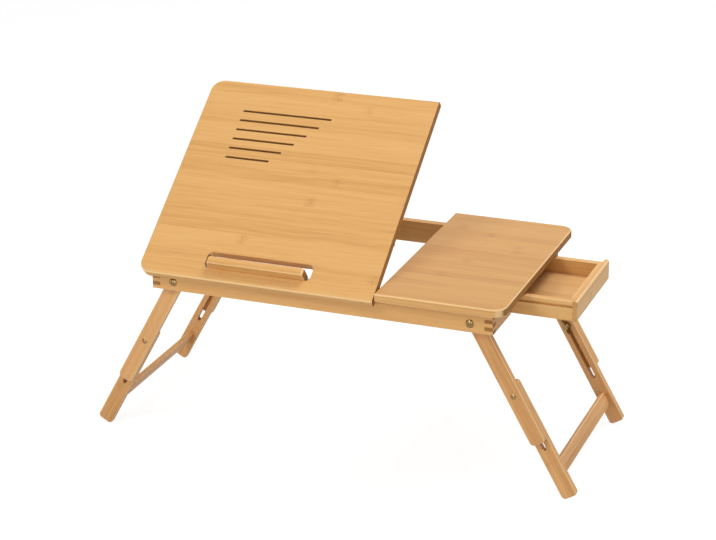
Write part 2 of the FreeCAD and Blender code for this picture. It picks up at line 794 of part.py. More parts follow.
def adjuster_bolt():
    end_y = wing_nut_y() + WING_HUB_H + BOLT_SPARE
    return domed_bolt(ADJUSTER_S, UPPER_Y, ADJUSTER_HEAD_R, ADJUSTER_HEAD_H, ADJUSTER_BOLT_R, end_y)


def adjuster_washer():
    y = washer_y()
    return ring(ADJUSTER_S, y, y + ADJUSTER_WASHER_T, ADJUSTER_WASHER_R, ADJUSTER_BOLT_R + FIT)


def wing(centre):
    """One wing of a wing nut, rising as it leaves the hub."""
    corner = centre - X * (WING_T / 2)
    root = Z * (WING_HUB_TIP_R - WING_T / 2)
    tip = Z * (WING_SPAN / 2)
    points = [
        corner + root + Y * WING_LOW,
        corner + tip * WING_SHARE + Y * WING_LOW,
        corner + tip + Y * (WING_H - WING_TIP_H),
        corner + tip * WING_SHARE + Y * WING_H,
        corner + root + Y * (WING_HUB_H - WING_LOW),
    ]
    return plate(points, (0, WING_EDGE_R, WING_TIP_R, WING_TIP_R, 0), X * WING_T)


def wing_nut():
    """A tapered hub with two wings."""
    centre = V(LEG_PIVOT_X, wing_nut_y(), LEG_PIVOT_Z - ADJUSTER_S)
    hub = Part.makeCone(WING_HUB_R, WING_HUB_TIP_R, WING_HUB_H, centre, Y)
    upper = wing(centre)
    lower = upper.mirror(centre, Z)
    nut = hub.fuse([upper, lower]).removeSplitter()
    return nut.cut(rod(centre, Y, ADJUSTER_BOLT_R + FIT, WING_H))


# Drawer, made closed

def side_groove(y):
    return box(DRAWER_BACK_X, DRAWER_INNER_X, y, y + GROOVE_DEPTH, GROOVE_Z, GROOVE_Z + GROOVE_H)


def floor_cut():
    deep = FLOOR_GROOVE
    x0 = DRAWER_BACK_X + DRAWER_END_T - deep
    x1 = DRAWER_INNER_X - DRAWER_END_T + deep
    y0 = DRAWER_SIDE_Y + DRAWER_SIDE_T - deep
    y1 = DRAWER_FAR_Y - DRAWER_SIDE_T + deep
    return box(x0, x1, y0, y1, FLOOR_Z, FLOOR_Z + FLOOR_T)


def drawer_bottom():
    return floor_cut()


def is_top_edge(middle, run):
    """True for the long upper edges of a drawer side."""
    return near(middle.z, DRAWER_TOP_Z) and near(run.y, 0)


def drawer_side_front():
    y1 = DRAWER_SIDE_Y + DRAWER_SIDE_T
    side = box(DRAWER_BACK_X, DRAWER_INNER_X, DRAWER_SIDE_Y, y1, DRAWER_BOTTOM_Z, DRAWER_TOP_Z)
    side = rounded(side, DRAWER_EDGE_R, is_top_edge)
    return side.cut([side_groove(DRAWER_SIDE_Y), floor_cut()])


def drawer_side_back():
    y0 = DRAWER_FAR_Y - DRAWER_SIDE_T
    side = box(DRAWER_BACK_X, DRAWER_INNER_X, y0, DRAWER_FAR_Y, DRAWER_BOTTOM_Z, DRAWER_TOP_Z)
    side = rounded(side, DRAWER_EDGE_R, is_top_edge)
    return side.cut([side_groove(DRAWER_FAR_Y - GROOVE_DEPTH), floor_cut()])


def drawer_end(x0):
    y0 = DRAWER_SIDE_Y + DRAWER_SIDE_T
    y1 = DRAWER_FAR_Y - DRAWER_SIDE_T
    end = box(x0, x0 + DRAWER_END_T, y0, y1, DRAWER_BOTTOM_Z, DRAWER_TOP_Z)
    return end.cut([floor_cut()] + drawer_screws())


def drawer_back():
    return drawer_end(DRAWER_BACK_X)


def drawer_inner_front():
    return drawer_end(DRAWER_INNER_X - DRAWER_END_T)


def drawer_front():
    front = box(DRAWER_INNER_X, DRAWER_FRONT_X, FRONT_Y, FRONT_FAR_Y, FRONT_BOTTOM_Z, FRONT_TOP_Z)
    front = rounded(
        front, FRONT_ARRIS_R, lambda m, d: near(m.z, FRONT_TOP_Z) and near(m.x, DRAWER_FRONT_X)
    )
    front = rounded(
        front, FRONT_EDGE_R, lambda m, d: near(m.z, FRONT_BOTTOM_Z) and near(m.x, DRAWER_FRONT_X)
    )
    return front.cut(drawer_screws())


def drawer_screws():
    x = DRAWER_INNER_X - DRAWER_END_T
    z = (DRAWER_BOTTOM_Z + DRAWER_TOP_Z) / 2
    ys = (DRAWER_SIDE_Y + DRAWER_SCREW_IN, DRAWER_FAR_Y - DRAWER_SCREW_IN)
    return [flat_screw(V(x, y, z), X, DRAWER_SCREW_LENGTH) for y in ys]


def guide_screw_points():
    y = DRAWER_SIDE_Y - GAP - GUIDE_W / 2
    z = GROOVE_Z + GAP
    xs = (GUIDE_LEFT_X + GUIDE_SCREW_IN, FRAME_W - RAIL_T - GUIDE_SCREW_IN)
    front = [V(x, y, z) for x in xs]
    return front + [V(x, DRAWER_SIDE_Y + DRAWER_FAR_Y - y, z) for x in xs]


def guide_screws():
    return [flat_screw(p, Z, GUIDE_SCREW_LENGTH) for p in guide_screw_points()]


def drawer_guide_front():
    """A strip under the fixed top with a tongue that runs in the groove of the drawer side."""
    x1 = FRAME_W - RAIL_T
    y1 = DRAWER_SIDE_Y - GAP
    low = GROOVE_Z + GAP
    strip = box(GUIDE_LEFT_X, x1, y1 - GUIDE_W, y1, low, RAIL_H)
    tongue_end = DRAWER_INNER_X - GAP
    tongue_y = DRAWER_SIDE_Y + GROOVE_DEPTH - 2 * GAP
    tongue = box(GUIDE_LEFT_X, x1, y1, tongue_y, low, GROOVE_Z + GROOVE_H - GAP)
    stop = box(x1, tongue_end, FRONT_Y, tongue_y, low, GROOVE_Z + GROOVE_H - GAP)
    return strip.fuse([tongue, stop]).removeSplitter().cut(guide_screws())


def drawer_guide_back():
    middle = (DRAWER_SIDE_Y + DRAWER_FAR_Y) / 2
    return drawer_guide_front().mirror(V(0, middle, 0), Y)


# Placing

def at_corners(make):
    """The four copies of a piece made at the front left corner."""
    piece = make()
    return [piece, mirror_back(piece), mirror_right(piece), mirror_right(mirror_back(piece))]


def opened(shape, side):
    """A leg piece swung from upright to its open place."""
    if side == "left":
        return turned(shape, V(LEG_PIVOT_X, 0, LEG_PIVOT_Z), Y, LEG_DEG)
    return turned(mirror_right(shape), V(FRAME_W - LEG_PIVOT_X, 0, LEG_PIVOT_Z), Y, -LEG_DEG)


def leg_nodes():
    nodes = {}
    upper = upper_leg()
    lower = lower_leg()
    bar = crossbar()
    bolts = [adjuster_bolt(), mirror_back(adjuster_bolt())]
    washers = [adjuster_washer(), mirror_back(adjuster_washer())]
    nut = wing_nut()
    for side in ("left", "right"):
        nodes[side + "_front_upper_leg"] = [opened(upper, side)]
        nodes[side + "_back_upper_leg"] = [opened(mirror_back(upper), side)]
        nodes[side + "_front_lower_leg"] = [opened(lower, side)]
        nodes[side + "_back_lower_leg"] = [opened(mirror_back(lower), side)]
        nodes[side + "_crossbar"] = [opened(bar, side)]
        nodes[side + "_adjuster_bolts"] = [opened(bolt, side) for bolt in bolts]
        nodes[side + "_adjuster_washers"] = [opened(washer, side) for washer in washers]
        nodes[side + "_front_wing_nut"] = [opened(nut, side)]
        nodes[side + "_back_wing_nut"] = [opened(mirror_back(nut), side)]
    return nodes


def frame_nodes():
    return {
        "front_rail": [front_rail()],
        "back_rail": [mirror_back(long_rail())],
        "left_rail": [left_rail()],
        "right_rail_front": [right_rail_front()],
        "right_rail_back": [right_rail_back()],
        "divider": [divider()],
        "rack_left": [rack_left()],
        "rack_right": [rack_right()],
        "rack_screws": rack_screws(),
        "fixed_panel": [fixed_panel()],
        "panel_dowels": dowels(),
        "drawer_guide_front": [drawer_guide_front()],
        "drawer_guide_back": [drawer_guide_back()],
        "guide_screws": guide_screws(),
        "hinge_frame_leaves": hinge_frame_leaves(),
        "hinge_frame_screws": hinge_frame_screws(),
        "hinge_pins": hinge_pins(),
        "leg_pivot_bolts": at_corners(pivot_bolt),
        "leg_pivot_washers": at_corners(pivot_washer),
        "leg_pivot_nuts": at_corners(pivot_nut),
    }


def top_nodes():
    """The pieces that tilt, made flat."""
    return {
        "tilt_panel": [tilt_panel()],
        "hinge_panel_leaves": hinge_panel_leaves(),
        "hinge_panel_screws": hinge_panel_screws(),
        "stop_bar": [stop_bar()],
        "stop_bar_pins": stop_pins(),
        "prop_cleat_left": [prop_cleat(cleat_left_x())],
        "prop_cleat_right": [prop_cleat(cleat_right_x())],
        "prop_pivot_pins": prop_pins(),
    }


def prop_nodes():
    return {
        "prop_arm_left": [prop_arm(arm_left_x())],
        "prop_arm_right": [prop_arm(arm_right_x())],
        "prop_rod": [prop_rod()],
    }


def drawer_nodes():
    return {
        "drawer_front": [drawer_front()],
        "drawer_inner_front": [drawer_inner_front()],
        "drawer_side_front": [drawer_side_front()],
        "drawer_side_back": [drawer_side_back()],
        "drawer_back": [drawer_back()],
        "drawer_bottom": [drawer_bottom()],
        "drawer_screws": drawer_screws(),
    }


def table():
    """Every node of the table as it stands in use, still about the frame's corner."""
    nodes = frame_nodes()
    nodes.update(leg_nodes())
    for name, solids in top_nodes().items():
        nodes[name] = [turned(s, HINGE, X, TILT_DEG) for s in solids]
    for name, solids in prop_nodes().items():
        swung = [turned(s, PROP_PIVOT, X, -PROP_SWING) for s in solids]
        nodes[name] = [turned(s, HINGE, X, TILT_DEG) for s in swung]
    for name, solids in drawer_nodes().items():
        nodes[name] = [moved(s, X * DRAWER_OUT) for s in solids]
    return nodes


def origin(nodes):
    """The floor under the middle of the table."""
    bounds = FreeCAD.BoundBox()
    for solids in nodes.values():
        for solid in solids:
            bounds.add(solid.optimalBoundingBox(False, False))
    return V(bounds.Center.x, bounds.Center.y, bounds.ZMin)


def main():
    os.makedirs("parts", exist_ok=True)
    nodes = table()
    shift = origin(nodes)
    for name, solids in nodes.items():
        placed = [moved(solid, -shift) for solid in solids]
        shape = placed[0] if len(placed) == 1 else Part.makeCompound(placed)
        shape.exportStep(os.path.join("parts", name + ".step"))
    print("nodes", len(nodes), "origin", [round(c, 4) for c in shift])


if __name__ == "__main__":
    main()
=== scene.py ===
import math

import bmesh
import bpy
from mathutils import Matrix, Vector

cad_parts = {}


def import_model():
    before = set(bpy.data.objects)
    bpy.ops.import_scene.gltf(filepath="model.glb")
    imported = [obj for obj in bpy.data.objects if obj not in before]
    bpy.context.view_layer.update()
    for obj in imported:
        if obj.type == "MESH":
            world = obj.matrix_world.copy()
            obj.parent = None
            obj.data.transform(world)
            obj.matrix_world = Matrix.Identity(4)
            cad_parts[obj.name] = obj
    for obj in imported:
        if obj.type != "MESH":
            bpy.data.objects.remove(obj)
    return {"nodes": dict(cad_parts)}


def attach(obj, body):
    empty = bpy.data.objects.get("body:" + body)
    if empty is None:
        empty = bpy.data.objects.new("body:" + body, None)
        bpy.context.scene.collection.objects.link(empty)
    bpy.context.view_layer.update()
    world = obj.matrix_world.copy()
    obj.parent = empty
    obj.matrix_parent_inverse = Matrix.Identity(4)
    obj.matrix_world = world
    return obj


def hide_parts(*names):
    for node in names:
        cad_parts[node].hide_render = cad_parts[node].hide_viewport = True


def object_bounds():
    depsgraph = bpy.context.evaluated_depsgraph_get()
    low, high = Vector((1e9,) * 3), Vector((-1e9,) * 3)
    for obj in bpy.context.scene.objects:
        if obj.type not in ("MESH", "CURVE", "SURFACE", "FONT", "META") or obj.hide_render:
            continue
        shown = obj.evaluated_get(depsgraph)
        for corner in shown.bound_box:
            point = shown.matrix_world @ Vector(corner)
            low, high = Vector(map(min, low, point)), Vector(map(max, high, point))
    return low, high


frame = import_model()
cad_low, cad_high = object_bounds()
nodes = frame["nodes"]

# Sizes of the table in millimetres, from the corner of its frame at the left, front and bottom
CORNER = Vector((258.0, 156.5536, -243.9622))
FRAME_W = 516.0
FRAME_D = 316.0
RAIL_T = 12.0
LEG_DEG = 29.1713
LEG_T = 10.0
LEG_PIVOT_X = 33.0
LEG_PIVOT_Z = 13.0
UPPER_Y = 14.0
TILT_DEG = 36.5
HINGE = Vector((0.0, -1.0, 33.15))
PROP_LEAN_DEG = 13.0
PIVOT_HEAD_H = 2.6
VENTS = (45.0, 205.0, 185.0, 290.0)  # area that holds them: from and to along the top, then up it

X = Vector((1, 0, 0))
Y = Vector((0, 1, 0))
Z = Vector((0, 0, 1))


def at(x, y, z):
    """A point given from the frame's corner in millimetres, in the scene's metres."""
    return (Vector((x, y, z)) - CORNER) / 1000


def linear(r, g, b):
    """A colour given as 0 to 255, as the shaders take it."""
    def one(c):
        c = c / 255
        return c / 12.92 if c <= 0.04045 else ((c + 0.055) / 1.055) ** 2.4
    return (one(r), one(g), one(b), 1.0)


# Colours: light, middle and dark fibres, and joints of the stem
TONES = {
    "top": (linear(229, 181, 118), linear(219, 168, 104), linear(197, 143, 82), linear(156, 102, 52)),
    "rail": (linear(230, 181, 118), linear(219, 167, 104), linear(195, 141, 81), linear(154, 99, 51)),
    "leg": (linear(238, 188, 130), linear(221, 167, 109), linear(181, 126, 73), linear(148, 92, 47)),
    "drawer": (linear(236, 192, 129), linear(226, 177, 112), linear(202, 149, 87), linear(160, 107, 56)),
    "ply": (linear(228, 184, 127), linear(215, 166, 107), linear(193, 141, 85), linear(156, 104, 56)),
}
END_MIDDLE = linear(166, 118, 64)
END_DOTS = linear(98, 64, 30)
END_CLOUDS = linear(134, 92, 46)
# painted shade for the walls of the vents' narrow cuts
SLOT_SHADE = linear(146, 98, 46)
# painted highlight along the rounded edges
EDGE_HIGHLIGHT = linear(250, 215, 160)
WHITE = (1.0, 1.0, 1.0, 1.0)

# How often each layer of the grain repeats in a millimetre, along the fibres and across them
BROAD = (0.006, 0.16)
STREAK = (0.012, 0.75)
FIBRE = (0.045, 3.4)
DRIFT = (0.011, 0.02)
DRIFT_WIDTH = 7.0    # how far the streaks drift to the side, in millimetres
MOTTLE = (0.3, 0.34)
END_CLOUD = 0.35
DOTS = 1.25
STEM_PERIOD = 265.0  # from one joint of the stem to the next, in millimetres
RING_SWAY = 0.024    # how far its ring wavers, as a part of that
STRIP_SEAM = (0.28, 0.02)  # glue between strips: where it starts to show and is full, in millimetres
LAYER_SEAM = (0.3, 0.02)
SHIFT = 613.0        # a strip's own start in the grain, at most

# How often the metal's tarnish and scratches repeat in a metre
TARNISH = 420.0
SCRATCHES = (900, 900, 5200)


# Shaders

class Graph:
    """A material's nodes, added one by one."""

    def __init__(self, name):
        self.material = bpy.data.materials.new(name)
        self.material.use_nodes = True
        self.tree = self.material.node_tree
        self.shader = self.tree.nodes["Principled BSDF"]

    def put(self, socket, value):
        if isinstance(value, bpy.types.NodeSocket):
            self.tree.links.new(value, socket)
        else:
            socket.default_value = value

    def add(self, kind, inputs=(), output=0, **settings):
        node = self.tree.nodes.new("ShaderNode" + kind)
        for key, value in settings.items():
            setattr(node, key, value)
        for key, value in dict(inputs).items():
            self.put(node.inputs[key], value)
        return node.outputs[output]

    def math(self, operation, *values, clamp=False):
        return self.add("Math", dict(enumerate(values)), operation=operation, use_clamp=clamp)

    def times(self, a, b, plus=None):
        if plus is None:
            return self.math("MULTIPLY", a, b)
        return self.math("MULTIPLY_ADD", a, b, plus)

    def size(self, value):
        return self.math("ABSOLUTE", value)

    def smooth(self, value, low, high, out_low=0.0, out_high=1.0):
        """Value eased from low..high to out_low..out_high."""
        inputs = {"Value": value, "From Min": low, "From Max": high, "To Min": out_low, "To Max": out_high}
        return self.add("MapRange", inputs, interpolation_type="SMOOTHSTEP")

    def mix(self, factor, a, b):
        """Colour a, turned into colour b as the factor goes from 0 to 1."""
        node = self.tree.nodes.new("ShaderNodeMix")
        node.data_type = "RGBA"
        self.put(node.inputs[0], factor)
        self.put(node.inputs[6], a)
        self.put(node.inputs[7], b)
        return node.outputs[2]

    def vector(self, x, y, z):
        return self.add("CombineXYZ", {0: x, 1: y, 2: z})

    def noise(self, vector, detail=2.0, roughness=0.5):
        inputs = {"Vector": vector, "Scale": 1.0, "Detail": detail, "Roughness": roughness}
        return self.add("TexNoise", inputs)

    def random(self, x, y, z):
        return self.add("TexWhiteNoise", {"Vector": self.vector(x, y, z)}, noise_dimensions="3D")

    def facing(self, way):
        """How squarely the surface faces along a direction, from 0 to 1."""
        inputs = {0: self.add("TexCoord", output="Normal"), 1: way}
        return self.size(self.add("VectorMath", inputs, output="Value", operation="DOT_PRODUCT"))

    def shown(self, **values):
        """Puts values on the main shader's own sockets and returns the material."""
        for key, value in values.items():
            self.put(self.shader.inputs[key.replace("_", " ")], value)
        return self.material


def bamboo(name, along, across, origin, strip, layer, tone, seed, ends=1.0, burnt=None):
    """Laminated bamboo: strips across, layers in its depth, stem joints, fine fibres and dotted ends.

    The fibres run along, from a point at the middle of a layer. Strip is the width of a strip and layer its
    thickness, in millimetres. Seed shifts the pattern, ends is how strongly the end grain shows, and the
    last argument is the area whose narrow cuts get painted shade on their walls, darker as in an unlit
    recess.
    """
    light, middle, dark, knot = TONES[tone]
    deep = along.cross(across)
    g = Graph(name)
    turn = Matrix((along, across, deep))
    place = g.add("Mapping", {
        "Vector": g.add("TexCoord", output="Object"),
        "Location": -(turn @ (origin * 1000)),
        "Rotation": turn.to_euler(),
        "Scale": (1000, 1000, 1000),
    })
    parts = g.tree.nodes.new("ShaderNodeSeparateXYZ")
    g.put(parts.inputs[0], place)
    u, v, w = parts.outputs[0], parts.outputs[1], parts.outputs[2]

    # strips and layers, each with its own tint and its own piece of stem
    row = g.times(v, 1 / strip, 0.37 + seed)
    sheet = g.times(w, 1 / layer, 0.5)
    row_id = g.math("FLOOR", row)
    sheet_id = g.math("FLOOR", sheet)
    chance = g.random(row_id, sheet_id, seed)
    other = g.random(row_id, sheet_id, seed + 7.7)
    edge_v = g.size(g.math("SUBTRACT", g.math("FRACT", row), 0.5))
    edge_w = g.size(g.math("SUBTRACT", g.math("FRACT", sheet), 0.5))
    seam_v = g.smooth(edge_v, 0.5 - STRIP_SEAM[0] / strip, 0.5 - STRIP_SEAM[1] / strip)
    seam_w = g.smooth(edge_w, 0.5 - LAYER_SEAM[0] / layer, 0.5 - LAYER_SEAM[1] / layer)
    seam = g.math("MAXIMUM", seam_v, seam_w)

    # grain: broad bands, streaks and fibres, of which the first two drift a little to the side
    drift = g.noise(g.vector(g.times(u, DRIFT[0]), g.times(v, DRIFT[1]), chance), 1.0)
    v_drift = g.times(drift, DRIFT_WIDTH, v)
    shift = g.times(chance, SHIFT)

    def grain(rates, sideways, detail, roughness):
        start = g.times(u, rates[0], shift)
        return g.noise(g.vector(start, g.times(sideways, rates[1]), g.times(w, rates[1])), detail, roughness)

    broad = grain(BROAD, v_drift, 3.0, 0.55)
    streak = grain(STREAK, v_drift, 2.0, 0.6)
    fibre = grain(FIBRE, v, 2.0, 0.6)

    # joints of the stem: a mottled patch about a faint, wavy ring, in some of the strips
    stem = g.times(u, 1 / STEM_PERIOD, g.times(other, 9.0))
    wave = g.noise(g.vector(g.times(v, 0.22), g.times(w, 0.22), other), 2.0)
    from_ring = g.math("SUBTRACT", g.math("FRACT", stem), g.times(wave, RING_SWAY, 0.5 - RING_SWAY / 2))
    distance = g.size(g.times(from_ring, STEM_PERIOD))
    patch = g.times(g.smooth(distance, 13.0, 2.0), g.smooth(edge_v, 0.5, 0.34))
    ring = g.times(g.smooth(distance, 1.5, 0.3), g.smooth(edge_v, 0.48, 0.3))
    mottle = g.noise(g.vector(g.times(u, MOTTLE[0]), g.times(v, MOTTLE[1]), g.times(w, MOTTLE[1])), 3.0, 0.7)
    seen = g.smooth(g.random(g.math("FLOOR", g.math("ADD", stem, 0.01)), row_id, sheet_id), 0.25, 0.95)
    mark = g.times(patch, g.smooth(mottle, 0.36, 0.72, 0.1, 0.8))
    mark = g.math("MULTIPLY", g.times(ring, 0.3, mark), seen, clamp=True)

    # colour
    ramp = g.tree.nodes.new("ShaderNodeValToRGB")
    ramp.color_ramp.elements[0].position = 0.12
    ramp.color_ramp.elements[0].color = dark
    ramp.color_ramp.elements[1].position = 0.86
    ramp.color_ramp.elements[1].color = light
    ramp.color_ramp.elements.new(0.47).color = middle
    g.put(ramp.inputs[0], g.times(broad, 0.7, g.times(chance, 0.26)))
    colour = ramp.outputs[0]
    colour = g.mix(g.smooth(streak, 0.5, 0.78, 0.0, 0.45), colour, dark)
    colour = g.mix(g.smooth(fibre, 0.52, 0.8, 0.0, 0.38), colour, dark)
    colour = g.mix(g.smooth(fibre, 0.46, 0.24, 0.0, 0.26), colour, light)
    colour = g.mix(g.times(mark, 0.46), colour, knot)
    colour = g.mix(g.times(seam, 0.22), colour, knot)

    # the ends of the fibres: darker, with the dots of the stem's bundles
    end = g.smooth(g.facing(along), 0.72, 0.9, 0.0, ends)
    cell = g.add("TexVoronoi", {"Vector": g.vector(0.0, v, w), "Scale": DOTS}, output="Distance")
    cloud = g.noise(g.vector(0.0, g.times(v, END_CLOUD), g.times(w, END_CLOUD)))
    end_colour = g.mix(g.times(g.smooth(cell, 0.34, 0.16), 0.6), END_MIDDLE, END_DOTS)
    end_colour = g.mix(g.times(cloud, 0.35), end_colour, END_CLOUDS)
    colour = g.mix(end, colour, end_colour)

    # walls of narrow cuts, darkened with painted shade where little light would reach
    if burnt:
        u0, u1, v0, v1 = burnt
        inside = g.times(g.math("COMPARE", u, (u0 + u1) / 2, (u1 - u0) / 2),
                         g.math("COMPARE", v, (v0 + v1) / 2, (v1 - v0) / 2))
        wall = g.times(inside, g.smooth(g.facing(deep), 0.5, 0.2))
        colour = g.mix(g.times(wall, 0.85), colour, SLOT_SHADE)

    # rounded edges, which face none of the piece's own directions squarely, get a paler painted highlight
    squarely = g.math("MAXIMUM", g.math("MAXIMUM", g.facing(along), g.facing(across)), g.facing(deep))
    edge_highlight = g.times(g.smooth(squarely, 0.98, 0.86), g.math("SUBTRACT", 1.0, end))
    colour = g.mix(g.times(edge_highlight, 0.62), colour, EDGE_HIGHLIGHT)

    # a thin satin lacquer over fibres that can just be felt
    rough = g.smooth(g.times(fibre, 0.6, g.times(broad, 0.4)), 0.2, 0.8, 0.38, 0.52)
    rough = g.times(end, 0.25, rough)
    height = g.math("SUBTRACT", g.times(fibre, 0.5), g.times(seam, 0.9))
    height = g.math("SUBTRACT", height, g.times(mark, 0.35))
    soft_edge = g.add("Bevel", {"Radius": 0.0007}, samples=4)
    bump = g.add("Bump", {"Strength": 0.32, "Distance": 0.00025, "Height": height, "Normal": soft_edge})
    return g.shown(Base_Color=colour, Roughness=rough, Normal=bump, Specular_IOR_Level=0.2)


def metal(name, colour, tarnish, roughness, wear):
    """Plated metal with fine scratches and clouds of tarnish; wear is how much of it they hide."""
    g = Graph(name)
    here = g.add("TexCoord", output="Object")
    cloud = g.add("TexNoise", {"Vector": here, "Scale": TARNISH, "Detail": 3.0, "Roughness": 0.6})
    drawn_out = g.add("Mapping", {"Vector": here, "Scale": SCRATCHES})
    grain = g.add("TexNoise", {"Vector": drawn_out, "Scale": 1.0, "Detail": 2.0})
    base = g.mix(g.smooth(cloud, 0.44, 0.7, 0.0, wear), colour, tarnish)
    rough = g.times(grain, 0.5, g.times(cloud, 0.5))
    rough = g.smooth(rough, 0.3, 0.7, roughness - 0.06, roughness + 0.1)
    soft_edge = g.add("Bevel", {"Radius": 0.0003}, samples=4)
    bump = g.add("Bump", {"Strength": 0.12, "Distance": 0.00008, "Height": grain, "Normal": soft_edge})
    return g.shown(Base_Color=base, Metallic=1.0, Roughness=rough, Normal=bump)


def paint(material, *names):
    """Gives CAD nodes a material."""
    for name in names:
        slots = nodes[name].data.materials
        slots.clear()
        slots.append(material)


# Directions of the pieces

tilt = math.radians(TILT_DEG)
slope = Vector((0, math.cos(tilt), math.sin(tilt)))
upright = Vector((0, -math.sin(tilt), math.cos(tilt)))
lean = math.radians(PROP_LEAN_DEG)
prop_way = Vector((0, -math.sin(lean), -math.cos(lean)))
leg = math.radians(LEG_DEG)
leg_ways = {
    "left": Vector((-math.sin(leg), 0, -math.cos(leg))),
    "right": Vector((math.sin(leg), 0, -math.cos(leg))),
}
hinge = at(*HINGE)
half_rail = RAIL_T / 2


def board(name, *look, pieces=(), **more):
    """Bamboo on the node of this name, or on the named pieces. What look and more hold is said at bamboo."""
    paint(bamboo("bamboo_" + name, *look, **more), *(pieces or (name,)))


# the tilt panel's vents get painted shade on their walls
board("tilt_panel", X, slope, hinge, 19.0, 4.0, "top", 0.12, burnt=VENTS)
board("fixed_panel", X, Y, at(430, 0, 39), 19.0, 4.0, "top", 0.61)
board("stop_bar", X, upright, hinge, 13.0, 6.0, "top", 0.3)
board("cleats", slope, X, hinge, 11.0, 5.0, "rail", 0.4, pieces=("prop_cleat_left", "prop_cleat_right"))
board("front_rail", X, Z, at(0, half_rail, 0), 16.5, 6.0, "rail", 0.2)
board("back_rail", X, Z, at(0, FRAME_D - half_rail, 0), 16.5, 6.0, "rail", 0.7)
board("side_rails", Y, Z, at(half_rail, 0, 0), 16.5, 6.0, "rail", 0.45,
      pieces=("left_rail", "right_rail_front", "right_rail_back"))
board("divider", Y, Z, at(263.5, 0, 0), 16.5, 6.0, "rail", 0.9)
board("racks", Y, Z, at(17, 0, 0), 15.0, 5.0, "rail", 0.55, pieces=("rack_left", "rack_right"))
board("guides", X, Z, at(0, 77, 0), 15.0, 6.0, "rail", 0.05,
      pieces=("drawer_guide_front", "drawer_guide_back"))
board("dowels", Z, X, at(0, 0, 0), 6.0, 6.0, "rail", 0.5, pieces=("panel_dowels",))
board("prop_arms", prop_way, X, at(0, 127, 100), 12.0, 5.0, "leg", 0.35,
      pieces=("prop_arm_left", "prop_arm_right"))
board("prop_rod", X, Y, at(0, 105, 25), 6.0, 6.0, "leg", 0.15)
board("drawer_ends", Y, Z, at(600, 0, 0), 15.0, 4.7, "drawer", 0.25, ends=0.45,
      pieces=("drawer_front", "drawer_inner_front", "drawer_back"))
board("drawer_sides", X, Z, at(0, 88, 1), 15.0, 4.7, "drawer", 0.75,
      pieces=("drawer_side_front", "drawer_side_back"))
board("drawer_floor", X, Y, at(0, 90, 5), 24.0, 1.2, "ply", 0.65, pieces=("drawer_bottom",))

for side, way in leg_ways.items():
    pivot_x = LEG_PIVOT_X if side == "left" else FRAME_W - LEG_PIVOT_X
    pivot = at(pivot_x, UPPER_Y + LEG_T / 2, LEG_PIVOT_Z)
    for end, number in (("front", 0.0), ("back", 0.31)):
        start = number + (0.0 if side == "left" else 0.17)
        for part, first in (("upper", 0.13), ("lower", 0.52)):
            board(f"{side}_{end}_{part}", way, way.cross(Y), pivot, 11.8, 5.0, "leg", first + start,
                  pieces=(f"{side}_{end}_{part}_leg",))
    board(f"{side}_crossbar", Y, way, pivot, 11.0, 4.0, "leg", 0.4 + len(side) * 0.1)

bronze = metal("bronze", linear(158, 130, 84), linear(74, 56, 30), 0.2, 0.8)
steel = metal("steel", linear(200, 198, 194), linear(140, 136, 130), 0.3, 0.4)
paint(bronze, "leg_pivot_bolts", "leg_pivot_washers", "leg_pivot_nuts")
for side in leg_ways:
    paint(bronze, f"{side}_adjuster_bolts", f"{side}_adjuster_washers")
    paint(bronze, f"{side}_front_wing_nut", f"{side}_back_wing_nut")
paint(steel, "rack_screws", "guide_screws", "hinge_frame_leaves", "hinge_frame_screws", "hinge_pins")
paint(steel, "hinge_panel_leaves", "hinge_panel_screws", "stop_bar_pins", "prop_pivot_pins", "drawer_screws")


# Hardware with the detail that its size allows, in metres

WELD = 2e-6          # points nearer than this are one
SAME_HEIGHT = 1e-5   # points of a head's rim differ by less
CUT_ABOVE = 0.002    # how far a cross cutter starts above the head
CROSS_FOOT = 0.45    # width of a cross at its bottom, as a part of its span
BOLT_EDGE = 0.0002
WING_EDGE = 0.0006
FLAT_DEG = 1.0       # faces that turn by less become one
EDGE_DEG = 38        # edges that turn by more are softened
SHARP_DEG = 35       # edges that turn by more are shaded as sharp

# Crosses: span, width and depth
BOLT_CROSS = (0.0078, 0.0017, 0.0017)
SCREW_CROSS = (0.0038, 0.0009, 0.0012)
HINGE_CROSS = (0.0026, 0.0006, 0.0006)


def joined(name):
    """A CAD node's mesh with its points joined, for editing."""
    build = bmesh.new()
    build.from_mesh(nodes[name].data)
    bmesh.ops.remove_doubles(build, verts=build.verts, dist=WELD)
    return build


def as_piece(name, build):
    """A new object in the scene from an edited mesh, which is freed."""
    mesh = bpy.data.meshes.new(name)
    build.to_mesh(mesh)
    build.free()
    piece = bpy.data.objects.new(name, mesh)
    bpy.context.scene.collection.objects.link(piece)
    return piece


def settled(piece):
    """Makes the piece's modifiers real and shades its soft faces smoothly."""
    graph = bpy.context.evaluated_depsgraph_get()
    mesh = bpy.data.meshes.new_from_object(piece.evaluated_get(graph))
    piece.modifiers.clear()
    piece.data = mesh
    mesh.shade_smooth()
    mesh.set_sharp_from_angle(angle=math.radians(SHARP_DEG))


def screw_heads(name, ways):
    """The middle of each screw head in a node, and the way into it, found from the screws' own points."""
    build = joined(name)
    taken = set()
    heads = []
    for first in build.verts:
        if first in taken:
            continue
        taken.add(first)
        screw = [first]
        for vert in screw:
            for edge in vert.link_edges:
                other = edge.other_vert(vert)
                if other not in taken:
                    taken.add(other)
                    screw.append(other)
        points = [vert.co.copy() for vert in screw]
        way = max(ways, key=lambda w: max(p.dot(w) for p in points) - min(p.dot(w) for p in points))
        ends = []
        for sign in (1, -1):
            start = min(p.dot(way) * sign for p in points)
            rim = [p for p in points if p.dot(way) * sign < start + SAME_HEIGHT]
            middle = sum(rim, Vector()) / len(rim)
            ends.append((max((p - middle).length for p in rim), middle, way * sign))
        widest = max(ends, key=lambda end: end[0])
        heads.append((widest[1], widest[2]))
    build.free()
    return heads


